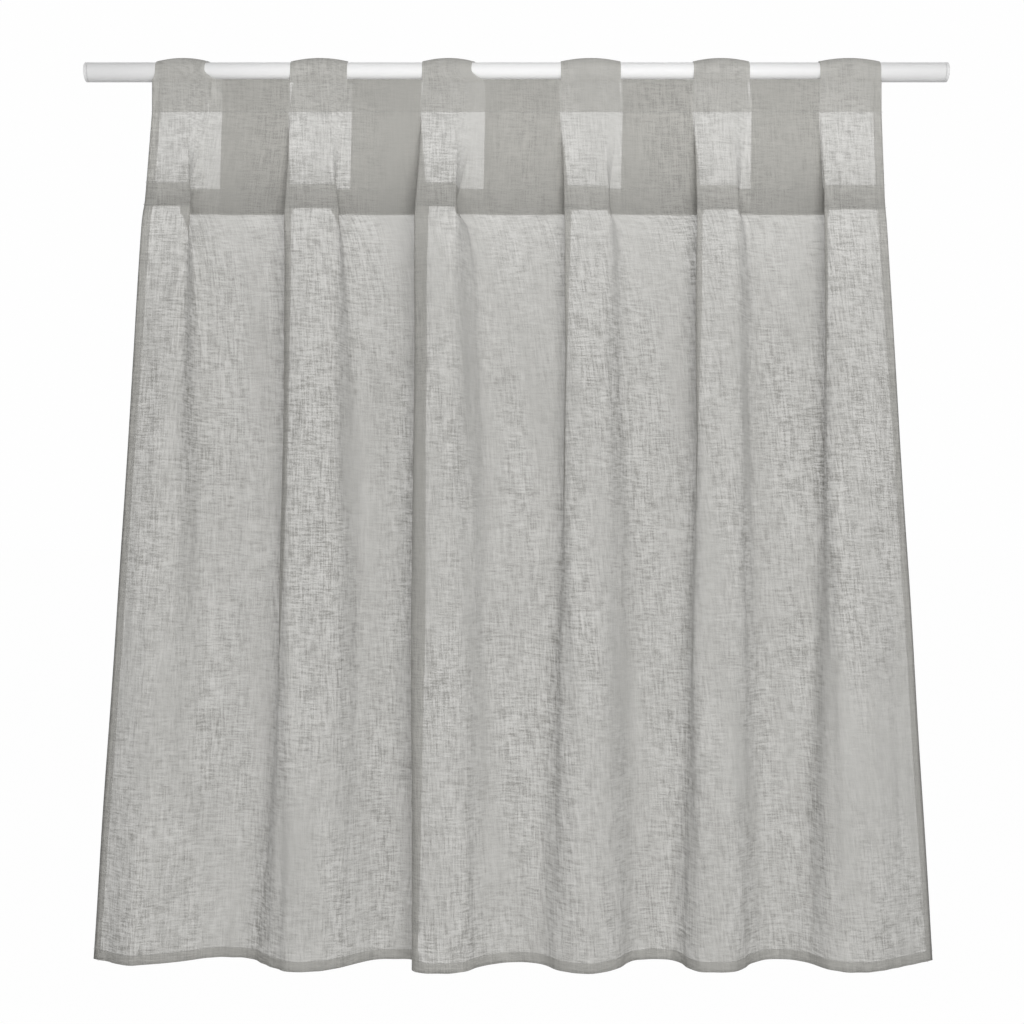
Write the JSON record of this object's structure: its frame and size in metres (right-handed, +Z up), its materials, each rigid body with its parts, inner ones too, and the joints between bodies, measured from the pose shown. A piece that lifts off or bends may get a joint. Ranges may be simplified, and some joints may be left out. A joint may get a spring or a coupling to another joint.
{
  "type": "tab top curtain",
  "caption": "Semi-sheer grey tab-top curtain hung in soft folds on a plain round white rod, with a faced heading band and turned hems.",
  "frame": {"origin": "on the rod's axis at mid-length", "axes": "+Z up, +X along the rod to the right as seen from the room, the room at -Y"},
  "size_m": [0.861, 0.0543, 0.9071],
  "materials": {
    "cloth": "matte semi-sheer linen-look weave",
    "lining": "matte, two layers of the same weave",
    "rod_white": "gloss white",
    "plug_white": "satin white"
  },
  "bodies": {
    "root": {"curtain_panel": "cloth", "heading_tape": "lining", "facing_1": "lining", "facing_2": "lining", "facing_3": "lining", "facing_4": "lining", "facing_5": "lining", "rod": "rod_white", "rod_cap_left": "plug_white", "rod_cap_right": "plug_white"}
  },
  "joints": []
}
